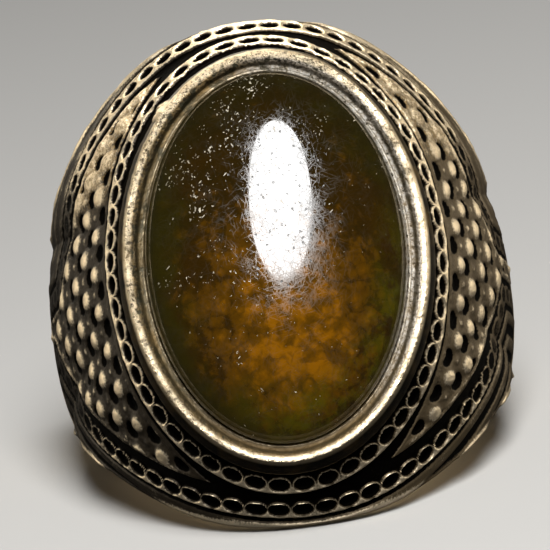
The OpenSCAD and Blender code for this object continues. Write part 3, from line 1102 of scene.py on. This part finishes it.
@dataclass
class RingBody:
    """The cast ring: bezel, rows of pits, side panels, band and finger hole, as one closed skin.

    Lengths are in millimetres, and angles in degrees from the top of the head or, for set_off_at, round the
    oval. tip_reach, end_reach and side_fade say where a change starts and over how much it goes. A wall row
    is its share of the way in, how far it swells, and whether it does so on the flanks alone. A point of the
    bezel's section is how far out of the opening and how far above the foot it lies.
    """

    hole: FingerHole
    oval: Oval
    relief: ReliefSizes = field(default_factory=ReliefSizes)
    head_t: float = 2.9
    side_sag: float = 0.4
    head_bulge: float = 0.12
    inner_pits: int = 52
    columns_to_pit: int = 15
    rim_columns: int = 320
    inner_zone: float = 1.42
    rim_zone: float = 1.42
    inner_rows: int = 18
    middle_rows: int = 60
    rim_rows: int = 18
    arc_steps: int = 128
    band_sections: int = 56
    bore_rows: int = 8
    panel_from_foot: float = 1.37
    panel_from_rim: float = 1.88
    panel_from_side: float = 1.50
    panel_tip: float = 3.9
    tip_taper: float = 0.27
    tip_from_foot: float = 0.55
    tip_reach: Range = (6.6, 2.6)
    end_widening: float = 0.3
    end_reach: Range = (50.0, 15.0)
    side_fade: Range = (0.2, 0.9)
    rim_fade: float = 0.25
    first_row: float = 1.55
    cell_phase: float = 0.22
    inner_phase: float = 0.17
    row_span: float = 60.0
    least_reach: float = 1.35
    near_foot: float = 2.5
    curve_steps: int = 1440
    oval_steps: int = 7200
    line_steps: int = 6000
    set_off: float = 0.5
    set_off_at: float = 122.0
    set_off_span: float = 40.0
    wall_from: float = 28.0
    wall_to: float = 118.0
    wall_fade: float = 25.0
    lumps: float = 0.05
    rim_pits: dict[Side, RimRow] = field(default_factory=lambda: {
        Side.NORTH: RimRow(1.147, 0.042, RowCurve(12.6, 8.8, 2.3), RowCurve(12.6, 8.8, 2.3)),
        Side.SOUTH: RimRow(1.183, -0.258, RowCurve(12.4, 8.3, 2.1), RowCurve(12.4, 6.6, 1.95)),
    })
    mesh_sizes: dict[str, float] = field(default_factory=lambda: {
        "pit_depth": 0.2, "slit_depth": 0.2, "recess": 0.11, "side_wear": 0.90
    })
    wall_rows: tuple[tuple[float, float, bool], ...] = (
        (0.06, 0.0, False),
        (0.14, 0.0, False),
        (0.34, -0.05, True),
        (0.48, 0.06, True),
        (0.62, -0.05, True),
        (0.86, 0.0, False),
        (0.95, -0.03, False),
        (1.0, -0.12, False),
    )
    bezel_section: tuple[Range, ...] = (
        (0.30, -1.00),
        (0.30, 0.36),
        (0.12, 0.62),
        (0.00, 0.82),
        (0.02, 0.92),
        (0.09, 0.97),
        (0.19, 0.99),
        (0.32, 1.04),
        (0.46, 1.16),
        (0.59, 1.30),
        (0.72, 1.38),
        (0.87, 1.41),
        (1.04, 1.33),
        (1.19, 1.06),
        (1.32, 0.58),
        (1.42, 0.00),
    )
    bezel_steps: int = 2

    def __post_init__(self) -> None:
        """Works out what follows from the sizes."""
        self.band = Band(self.hole.radius)
        self.foot_z = self.hole.radius + self.head_t
        self.columns = self.inner_pits * self.columns_to_pit
        self.side_columns = self.columns // 2 - self.rim_columns
        self.points, self.run = self.head_rows()
        self.flat = self.points.reshape(-1, 3)
        self.around = around_finger(self.flat)
        self.maker = MeshMaker()

    def foot(self, angle: np.ndarray, height: float) -> np.ndarray:
        """Points round the bezel's foot, at a height."""
        return self.oval.points(angle, self.bezel_section[-1][0], height)

    def edge(self) -> tuple[np.ndarray, np.ndarray]:
        """The head's edge: the rim on both sides, joined by the band's section at its left and right.

        Returns:
            The edge's points, and each one's angle from the top.
        """
        fine = np.linspace(90, -90, self.curve_steps // 2 + 1)
        run = run_length(self.band.rim(fine, Side.NORTH))
        angle = np.interp(np.linspace(0, run[-1], self.rim_columns + 1), run, fine)[:-1]
        across = np.linspace(1, -1, self.side_columns + 1)[:-1]
        left = np.full(self.side_columns, -90.0)
        points = [
            self.band.rim(angle, Side.NORTH),
            self.band.face(left, across),
            self.band.rim(-angle, Side.SOUTH),
            self.band.face(-left, -across),
        ]
        return np.vstack(points), np.concatenate([angle, left, -angle, -left])

    def oval_angles(self, count: int) -> np.ndarray:
        """Angles at even steps of run round the bezel's foot, from the first column."""
        fine = np.linspace(0, 360, self.curve_steps + 1)
        run = run_length(self.foot(fine, 0.0))
        first = self.side_columns / 2 / self.columns
        return np.interp((np.arange(count) / count + first) % 1.0 * run[-1], run, fine)

    def arcs(self) -> tuple[np.ndarray, np.ndarray]:
        """Arcs from the bezel's foot to the head's edge, one to a column.

        Returns:
            Fine points along each arc, and the run up to each.
        """
        foot = self.foot(self.oval_angles(self.columns), self.foot_z)
        edge, angle = self.edge()
        upright = sine(angle) ** 2
        bow = np.stack([
            mix(foot[:, 0], edge[:, 0], (1 + upright) / 2),
            (foot[:, 1] + edge[:, 1]) / 2 + np.sign(edge[:, 1]) * self.head_bulge * (1 - upright),
            (foot[:, 2] + edge[:, 2]) / 2 + mix(self.head_bulge, -self.side_sag, upright),
        ], axis=-1)
        t = np.linspace(0, 1, self.arc_steps + 1)[:, None, None]
        points = mix(mix(foot, bow, t), mix(bow, edge, t), t)
        return points, run_length(points)

    def head_rows(self) -> tuple[np.ndarray, np.ndarray]:
        """Rows of points over the head's face, close together where the relief is finest.

        Returns:
            The points, and the run from the foot.
        """
        arcs, runs = self.arcs()
        length = runs[-1]
        room = length - self.rim_zone
        rows = [np.outer(np.linspace(0, self.inner_zone, self.inner_rows + 1), np.ones_like(length))]
        rows += [mix(self.inner_zone, room, t)[None] for t in np.linspace(0, 1, self.middle_rows + 1)[1:]]
        rows += [mix(room, length, t)[None] for t in np.linspace(0, 1, self.rim_rows + 1)[1:]]
        run = np.vstack(rows)
        points = np.empty(run.shape + (3,))
        for j in range(run.shape[1]):
            for axis in range(3):
                points[:, j, axis] = np.interp(run[:, j], runs[:, j], arcs[:, j, axis])
        return points, run

    def outward(self, points: np.ndarray) -> np.ndarray:
        """Directions straight out of a grid whose rows are rings."""
        along = np.roll(points, -1, axis=1) - np.roll(points, 1, axis=1)
        normal = np.cross(np.gradient(points, axis=0), along)
        return normal / np.maximum(np.linalg.norm(normal, axis=-1, keepdims=True), 1e-9)

    def row_reach(self, around: np.ndarray, side: Side) -> np.ndarray:
        """How far along the finger from the stone's middle a rim's row of pits lies.

        Args:
            around: Angles from the top of the head.
            side: Which rim it is.

        Returns:
            The row's distance at each angle.
        """
        share = np.abs(around) / self.row_span
        row = self.rim_pits[side]
        reach = np.where(around > 0, row.right.reach(share), row.left.reach(share))
        return np.maximum(reach, self.least_reach)

    def row_line(self, side: Side) -> tuple[np.ndarray, np.ndarray]:
        """The line of the pits along a rim, laid on the head's face.

        Args:
            side: Which rim it is.

        Returns:
            Points close together along the line from left to right, and the run at each from the top.
        """
        points = self.points
        gap = side.value * points[..., 1] - self.row_reach(around_finger(points), side)
        columns = np.flatnonzero((gap.max(axis=0) > 0) & (gap[0] < 0))
        after = (gap > 0).argmax(axis=0)[columns]
        low, high = gap[after - 1, columns], gap[after, columns]
        share = (-low / (high - low))[:, None]
        line = mix(points[after - 1, columns], points[after, columns], share)
        line = line[np.argsort(np.arctan2(line[:, 0], line[:, 2]))]
        run = run_length(line)
        even = np.linspace(0, run[-1], self.line_steps)
        fine = np.stack([np.interp(even, run, line[:, axis]) for axis in range(3)], axis=-1)
        return fine, even - np.interp(0.0, fine[:, 0], even)

    def along_rims(self) -> tuple[np.ndarray, np.ndarray]:
        """Each point's place by the nearer of the two rows of pits along the rims.

        Returns:
            The place along the row in pitches, and the distance in from the row's rim.
        """
        places, gaps = [], []
        for side, row in self.rim_pits.items():
            line, run = self.row_line(side)
            number, distance = nearest(line, self.flat)
            outside = side.value * self.flat[:, 1] > self.row_reach(self.around, side)
            places.append(run[number] / row.pitch - row.first)
            gaps.append(Relief.RIM_PIT_LINE - np.where(outside, distance, -distance))
        nearer = gaps[0] < gaps[1]
        return np.where(nearer, *places), np.where(nearer, *gaps)

    def along_foot(self) -> tuple[np.ndarray, np.ndarray]:
        """Each point's place by the row of pits round the bezel's foot.

        Returns:
            The place along the row in pitches, and the distance out from the foot.
        """
        run = self.run.ravel()
        fine = np.linspace(0, 360, self.oval_steps + 1)[:-1]
        foot = self.foot(fine, self.foot_z)
        foot_run = run_length(foot)
        start = np.interp(self.oval_angles(1)[0], fine, foot_run)
        number, distance = nearest(foot, self.flat)
        along = (foot_run[number] - start) / foot_run[-1] * self.inner_pits
        bell = np.exp(-(((fine[number] - self.set_off_at) / self.set_off_span) ** 2))
        return along, np.where(run < self.near_foot, distance, run) - self.set_off * bell

    def along_panels(self) -> np.ndarray:
        """Each column's distance from the middle of the nearer side panel, along a row of the head."""
        row = self.points[self.inner_rows + self.middle_rows // 3]
        run = run_length(np.vstack([row, row[:1]]))
        left_middle = self.rim_columns + self.side_columns // 2
        away = (run[:-1, None] - run[[left_middle, left_middle + self.columns // 2]]) / run[-1]
        away = (away - np.round(away)) * run[-1]
        return np.take_along_axis(away, np.abs(away).argmin(axis=1)[:, None], axis=1)[:, 0]

    def in_panel(self, inner: np.ndarray, edge: np.ndarray, to_side: np.ndarray) -> np.ndarray:
        """How far inside the nearer side panel each point lies.

        Args:
            inner: Distance out from the bezel's foot.
            edge: Distance in from the rim's row.
            to_side: Distance to the ring's side.

        Returns:
            The distance in from the panel's outline, less than 0 outside it.
        """
        aside = np.abs(self.flat[:, 0])
        near_tip = np.clip((self.tip_reach[0] - aside) / self.tip_reach[1], 0, 1)
        near_end = np.clip((np.abs(self.around) - self.end_reach[0]) / self.end_reach[1], 0, 1)
        return np.minimum.reduce([
            inner - self.panel_from_foot - self.tip_from_foot * near_tip,
            edge - self.panel_from_rim + self.end_widening * near_end,
            to_side - self.panel_from_side,
            (aside - self.panel_tip) * self.tip_taper,
        ])

    def measure(self) -> dict[str, np.ndarray]:
        """Measures that the relief is worked out from.

        Returns:
            A vector for each point, under each name.
        """
        inner_along, inner = self.along_foot()
        rim_along, edge = self.along_rims()
        rim_gap = self.band.half_width(self.around) - np.abs(self.flat[:, 1])
        to_side = np.radians(90 - np.abs(self.around)) * (self.hole.radius + self.band.side_t)
        inside = self.in_panel(inner, edge, to_side)
        along = np.broadcast_to(self.along_panels(), self.run.shape).ravel()
        along = along / self.relief.cell_pitch - self.cell_phase
        across = (self.run.ravel() - self.first_row) / self.relief.row_pitch
        zone = np.clip((to_side - self.side_fade[0]) / self.side_fade[1], 0, 1)
        turn = math.tau * (inner_along - self.inner_phase)
        rim_turn = math.tau * rim_along
        from_rim = np.clip(rim_gap / self.rim_fade, 0, 1)
        return {
            "out": self.outward(self.points).reshape(-1, 3),
            "inner_row": np.stack([np.sin(turn), np.cos(turn), inner], -1),
            "rim_row": np.stack([np.sin(rim_turn), np.cos(rim_turn), edge], -1),
            "panel": np.stack([along, across, inside], -1),
            "cast": np.stack([zone * zone * (3 - 2 * zone), np.zeros_like(inner), from_rim], -1),
        }

    def add_bezel(self, foot: np.ndarray) -> None:
        """Adds the bezel, from the closed seat under the stone over the crest to its foot.

        Args:
            foot: Numbers of the points along the foot.
        """
        section = smooth_line(self.bezel_section, self.bezel_steps)[:-1]
        angles = self.oval_angles(self.columns // 2)
        rows = np.array([self.oval.points(angles, out, self.foot_z + up) for out, up in section])
        cast = np.zeros(rows.shape)
        cast[..., 1] = np.linspace(0, 1, len(section) + 1)[:-1, None]
        numbers = self.maker.add(rows, out=self.outward(rows), cast=cast)
        self.maker.grid(numbers, closed=True)
        self.maker.bridge(numbers[-1], foot, closed=True)
        floor = self.oval.points(0.0, 0.0, self.foot_z + section[0][1], 0.0)
        middle = self.maker.add(floor.reshape(1, 3))
        self.maker.fan(numbers[0], int(middle[0]))

    def add_band(self, edge: np.ndarray) -> tuple[list[int], list[int], np.ndarray]:
        """Adds the plain band round the back of the finger.

        Args:
            edge: Numbers of the points along the head's edge.

        Returns:
            The band's numbers on its south and on its north edge, from right to left, and their angles.
        """
        steps = np.arange(self.side_columns + 1)
        right = edge[(2 * self.rim_columns + self.side_columns + steps) % self.columns].tolist()
        left = edge[self.rim_columns + self.side_columns - steps].tolist()
        angle = 90 + 180 * np.arange(1, self.band_sections) / self.band_sections
        wrapped = np.where(angle > 180, angle - 360, angle)
        across = np.linspace(-1, 1, self.side_columns // 2 + 1)
        numbers = self.maker.add(self.band.face(wrapped[:, None], across[None, :]))
        self.maker.grid(numbers, closed=False)
        self.maker.bridge(right, numbers[0], closed=False)
        self.maker.bridge(left, numbers[-1], closed=False)
        return numbers[:, 0].tolist(), numbers[:, -1].tolist(), wrapped

    def add_wall(self, side: Side, rim: list[int], angle: np.ndarray) -> np.ndarray:
        """Adds one side wall, from the rim to the finger hole, with a low ridge along its flanks.

        Args:
            side: Which side it is.
            rim: Numbers of the rim's points, all the way round.
            angle: Their angles from the top.

        Returns:
            The numbers of its last row, on the finger hole.
        """
        span = np.abs(angle)
        flank = np.clip((span - self.wall_from) / self.wall_fade, 0, 1)
        flank = flank * np.clip((self.wall_to - span) / self.wall_fade, 0, 1)
        rows = []
        for share, swell, on_flank in self.wall_rows:
            radius = mix(self.band.rim_r(angle), self.hole.radius, share)
            shift = swell * flank if on_flank else swell
            rows.append(self.band.at(radius, angle, side.value * (self.band.half_width(angle) + shift)))
        numbers = self.maker.add(np.array(rows))
        self.maker.grid(np.vstack([np.array(rim)[None], numbers]), closed=True)
        return numbers[-1]

    def add_bore(self, north: np.ndarray, south: np.ndarray) -> None:
        """Adds the finger hole's wall between the two sides.

        Args:
            north: Numbers of the points on the north side.
            south: Numbers of the points on the south side, in step with them.
        """
        known = np.vstack(self.maker.points)
        start, end = known[north], known[south]
        inner = np.array([mix(start, end, t) for t in np.linspace(0, 1, self.bore_rows + 1)[1:-1]])
        radius = np.hypot(inner[..., 0], inner[..., 2])
        for axis in (0, 2):
            inner[..., axis] *= self.hole.radius / radius
        self.maker.grid(np.vstack([north[None], self.maker.add(inner), south[None]]), closed=True)

    def skin(self) -> bpy.types.Object:
        """The closed skin, before its relief is raised."""
        head = self.maker.add(self.points, **self.measure())
        self.maker.grid(head, closed=True)
        self.add_bezel(head[0])
        edge = head[-1]
        _, edge_angle = self.edge()
        south_band, north_band, band_angle = self.add_band(edge)
        half = self.rim_columns + self.side_columns
        ends = {
            Side.NORTH: (0, north_band[::-1], band_angle[::-1]),
            Side.SOUTH: (half, south_band, band_angle),
        }
        bores = {}
        for side, (first, band, angle) in ends.items():
            last = first + self.rim_columns
            rim = edge[first:last + 1].tolist() + band
            around = np.concatenate([edge_angle[first:last], [-90.0 * side.value], angle])
            bores[side] = self.add_wall(side, rim, around)
        south = np.roll(bores[Side.SOUTH][::-1], 1 + self.rim_columns)
        self.add_bore(bores[Side.NORTH], south)
        return self.maker.build("ring_skin", self.hole)

    def cast_tree(self, material: bpy.types.Material) -> tuple[bpy.types.NodeTree, dict[str, str]]:
        """The tree that raises the relief and gives the casting its unevenness.

        Args:
            material: What the casting is made of.

        Returns:
            The tree, and the identifier of each named size.
        """
        tree = bpy.data.node_groups.new("cast_relief", "GeometryNodeTree")
        sheet = Sheet(tree)
        for way in ("INPUT", "OUTPUT"):
            tree.interface.new_socket("Geometry", in_out=way, socket_type="NodeSocketGeometry")
        named = {}
        for name in [size.name for size in fields(ReliefSizes)] + ["lumps"]:
            label = name.replace("_", " ").capitalize()
            named[name] = tree.interface.new_socket(label, in_out="INPUT", socket_type="NodeSocketFloat")
        entry = sheet.node("NodeGroupInput")
        sizes = {key: Field(sheet, entry.outputs[made.name]) for key, made in named.items()}
        relief = Relief(sheet, SimpleNamespace(**sizes))
        height = (relief.height() + self.unevenness(relief, sizes["lumps"])) * MM
        inputs = {0: sheet.attribute("out"), "Scale": height}
        offset = sheet.node("ShaderNodeVectorMath", inputs, operation="SCALE")
        inputs = {"Geometry": entry.outputs["Geometry"], "Offset": offset.outputs[0]}
        moved = sheet.node("GeometryNodeSetPosition", inputs)
        real = sheet.node("GeometryNodeRealizeInstances", {"Geometry": moved.outputs[0]})
        dressed = sheet.node("GeometryNodeSetMaterial", {"Geometry": real.outputs[0], "Material": material})
        sheet.node("NodeGroupOutput", {0: dressed.outputs[0]})
        return tree, {key: made.identifier for key, made in named.items()}

    def unevenness(self, relief: Relief, size: Field) -> Field:
        """The casting's soft lumps and dents, strongest at the bezel's upper left, and the lump of solder.

        Args:
            relief: The relief that it is added to.
            size: Their size in millimetres.

        Returns:
            The height to add.
        """
        sheet = relief.east.sheet
        lumps = sheet.noise(relief.place, Grain(0.75, 3.0, 11.0))
        dents = sheet.noise(relief.place, Grain(2.6, 2.0, 12.0))
        bezel = relief.bezel.ramp(0.25, 0.4)
        battered = 1.0 + (relief.north - relief.east).ramp(2.0, 12.0) * 1.3
        uneven = (lumps * 1.4 + dents * 0.9) * size * bezel * battered + dents * size * 1.1 * relief.zone
        return uneven + relief.lump * (0.10 + dents * 0.45) * (bezel + relief.zone).least(1.0)

    def build(self, finish: SilverFinish) -> bpy.types.Object:
        """Builds the ring body and puts it in place of its solid.

        Args:
            finish: The metal's finish.

        Returns:
            The finished piece.
        """
        piece = self.skin()
        tree, keys = self.cast_tree(finish.make(self.relief))
        cast = piece.modifiers.new("cast relief", "NODES")
        cast.node_group = tree
        raised = replace(self.relief, **self.mesh_sizes)
        for size in fields(ReliefSizes):
            cast[keys[size.name]] = getattr(raised, size.name)
        cast[keys["lumps"]] = self.lumps
        piece = applied(piece)
        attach(piece, BODY)
        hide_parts("ring_body")
        return piece


def applied(piece: bpy.types.Object) -> bpy.types.Object:
    """Makes a piece with live modifiers a plain mesh.

    Args:
        piece: The piece.

    Returns:
        The same piece, with no modifier.
    """
    graph = bpy.context.evaluated_depsgraph_get()
    result = bpy.data.meshes.new_from_object(
        piece.evaluated_get(graph), preserve_all_data_layers=True, depsgraph=graph
    )
    piece.modifiers.clear()
    piece.data = result
    result.name = piece.name
    return piece


@dataclass
class Cabochon:
    """The stone: a girdle in the seat, and a long oval dome."""

    hole: FingerHole
    oval: Oval
    foot_z: float
    rise: float = 4.5
    gap: float = 0.1
    seat_out: float = 0.30
    seat_floor: float = -1.00
    girdle: Range = (-0.60, 0.28)
    lip_gap: float = 0.005
    lip_up: float = 0.89
    dome_power: float = 2.3
    sides: int = 224
    rings: int = 72

    def rows(self) -> np.ndarray:
        """Rings of points, from the underside up to next to the top."""
        angle = np.linspace(0, 360, self.sides + 1)[:-1]
        section = [(0.0, self.seat_floor + self.gap)]
        section += [(self.seat_out - self.gap, up) for up in self.girdle]
        section += [(-self.lip_gap, self.lip_up)]
        rows = [self.oval.points(angle, grow, self.foot_z + up) for grow, up in section]
        for t in 90 * np.linspace(0, 1, self.rings + 1)[1:-1]:
            size = cosine(t) ** (2 / self.dome_power)
            up = mix(self.lip_up, self.rise, sine(t) ** (2 / self.dome_power))
            rows.append(self.oval.points(angle, -self.lip_gap, self.foot_z + up, size))
        return np.array(rows)

    def build(self, finish: AgateFinish) -> bpy.types.Object:
        """Builds the stone and puts it in place of its solid.

        Args:
            finish: The stone's finish.

        Returns:
            The finished piece.
        """
        maker = MeshMaker()
        numbers = maker.add(self.rows())
        maker.grid(numbers, closed=True)
        heights = self.foot_z + np.array([self.seat_floor + self.gap, self.rise])
        bottom, top = maker.add(self.oval.points(0.0, 0.0, heights, 0.0)).tolist()
        maker.fan(numbers[0], bottom)
        maker.fan(numbers[-1], top)
        piece = maker.build("agate_cabochon", self.hole)
        piece.data.materials.append(finish.make())
        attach(piece, BODY)
        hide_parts("cabochon")
        return piece


@dataclass(frozen=True)
class Lamp:
    """One soft light that faces the ring.

    Tilt and yaw say where it stands, seen from the stone; it is a distance away and has a width and height,
    all in metres, and a power in watts. The turn is about its own beam.
    """

    name: str
    tilt: float
    yaw: float
    away: float
    size: Range
    power: float
    turn: float = 0.0


@dataclass
class Studio:
    """The pale floor, the soft lights and the camera."""

    hole: FingerHole
    foot_z: float
    distance: float = 250.0
    scale: float = 0.05
    picture: int = 550
    tilt: float = 12.0
    yaw: float = -0.4
    roll: float = -7.5
    foot_pixel: Range = (276.7, 260.7)
    sensor: float = 36.0
    clip: Range = (0.01, 50.0)
    floor_size: float = 4.0
    floor_colour: Colour = (0.46, 0.45, 0.43)
    floor_rough: float = 0.8
    sky_colour: Colour = (1.0, 0.96, 0.88)
    sky_strength: float = 0.035
    panel_colour: Colour = (1.0, 0.93, 0.79)
    softbox: Lamp = Lamp("tall_softbox", -26.0, 5.5, 0.40, (0.165, 0.30), 3.3, -14.0)
    panels: tuple[Lamp, ...] = (
        Lamp("top_panel", -86.0, 0.0, 0.45, (0.30, 0.32), 1.45),
        Lamp("left_panel", -15.0, -100.0, 0.50, (0.25, 0.30), 0.8),
        Lamp("right_panel", -15.0, 103.0, 0.50, (0.25, 0.30), 0.8),
        Lamp("back_panel", -130.0, 20.0, 0.6, (0.4, 0.4), 1.6),
    )

    def looking(self, tilt: float, yaw: float) -> np.ndarray:
        """Direction from the stone, tilted along the finger and turned to the side, in the frame."""
        return self.hole.turn([sine(yaw) * cosine(tilt), -sine(tilt), cosine(yaw) * cosine(tilt)])

    def target(self) -> np.ndarray:
        """The middle of the bezel's foot, which the camera and the lights aim at."""
        return self.hole.place([0.0, 0.0, self.foot_z])

    def facing(self, back: np.ndarray, up: np.ndarray) -> np.ndarray:
        """Right, up and back as columns, for something that looks the other way from back."""
        right = np.cross(up, back)
        right /= np.linalg.norm(right)
        return np.stack([right, np.cross(back, right), back], axis=1)

    def add_camera(self) -> None:
        """Adds the camera at the photo's angle and distance."""
        back = self.looking(self.tilt, self.yaw)
        right, up, _ = self.facing(back, self.hole.axis).T
        right, up = (right * cosine(self.roll) + up * sine(self.roll),
                     up * cosine(self.roll) - right * sine(self.roll))
        position = self.target() + back * self.distance * MM
        half = self.picture / 2
        off_right, off_up = self.foot_pixel[0] - half, half - self.foot_pixel[1]
        back = position - self.target() + (right * off_right + up * off_up) * self.scale * MM
        back /= np.linalg.norm(back)
        lens = bpy.data.cameras.new("camera")
        lens.sensor_width = self.sensor
        lens.lens = self.sensor * self.distance / (self.picture * self.scale)
        lens.clip_start, lens.clip_end = self.clip
        camera = bpy.data.objects.new("camera", lens)
        turned = Matrix(self.facing(back, up).tolist()).to_4x4()
        camera.matrix_world = Matrix.Translation(Vector(position)) @ turned
        bpy.context.scene.collection.objects.link(camera)
        bpy.context.scene.camera = camera

    def add_light(self, lamp: Lamp, only: bpy.types.Collection | None = None) -> None:
        """Adds one soft light.

        Args:
            lamp: What it is and where it stands.
            only: The pieces that it lights, if not all.
        """
        light = bpy.data.lights.new(lamp.name, "AREA")
        light.shape = "ELLIPSE"
        light.size, light.size_y = lamp.size
        light.energy = lamp.power
        back = Vector(self.looking(lamp.tilt, lamp.yaw)).normalized()
        thing = bpy.data.objects.new(lamp.name, light)
        turned = Matrix.Rotation(math.radians(lamp.turn), 4, "Z")
        facing = back.to_track_quat("Z", "Y").to_matrix().to_4x4() @ turned
        thing.matrix_world = Matrix.Translation(Vector(self.target()) + back * lamp.away) @ facing
        if only is not None:
            light.color = self.panel_colour
            thing.light_linking.receiver_collection = only
        bpy.context.scene.collection.objects.link(thing)

    def add_floor(self) -> None:
        """Adds the plain pale floor."""
        half = self.floor_size / 2
        mesh = bpy.data.meshes.new("floor")
        corners = [(-half, -half, 0), (half, -half, 0), (half, half, 0), (-half, half, 0)]
        mesh.from_pydata(corners, [], [(0, 1, 2, 3)])
        floor = bpy.data.objects.new("floor", mesh)
        material, sheet = new_material("pale_floor")
        dress(sheet, {"Base Color": (*self.floor_colour, 1.0), "Roughness": self.floor_rough})
        mesh.materials.append(material)
        bpy.context.scene.collection.objects.link(floor)
        floor.visible_glossy = False

    def build(self) -> None:
        """Sets the studio up."""
        self.add_camera()
        self.add_floor()
        world = bpy.data.worlds.new("studio")
        world.use_nodes = True
        sky = world.node_tree.nodes["Background"]
        sky.inputs["Color"].default_value = (*self.sky_colour, 1.0)
        sky.inputs["Strength"].default_value = self.sky_strength
        bpy.context.scene.world = world
        bpy.context.scene.view_settings.view_transform = "Standard"
        self.add_light(self.softbox)

    def light_metal(self, piece: bpy.types.Object) -> None:
        """Adds weak soft lights for the metal alone, which leave the stone's one clear shine.

        Args:
            piece: The metal piece.
        """
        metal = bpy.data.collections.new("metal")
        metal.objects.link(piece)
        for lamp in self.panels:
            self.add_light(lamp, metal)


def report(piece: bpy.types.Object) -> None:
    """Logs a piece's size."""
    piece.data.calc_loop_triangles()
    log.info("%s: %d triangles", piece.name, len(piece.data.loop_triangles))


def main() -> None:
    """Builds the studio, the ring body and the stone."""
    logging.basicConfig(level=logging.INFO, format="%(name)s: %(message)s")
    hole = FingerHole.of_record(frame["record"])
    oval = Oval()
    body = RingBody(hole, oval)
    studio = Studio(hole, body.foot_z)
    studio.build()
    ring = body.build(SilverFinish())
    report(ring)
    studio.light_metal(ring)
    report(Cabochon(hole, oval, body.foot_z).build(AgateFinish()))


if __name__ == "__main__":
    main()
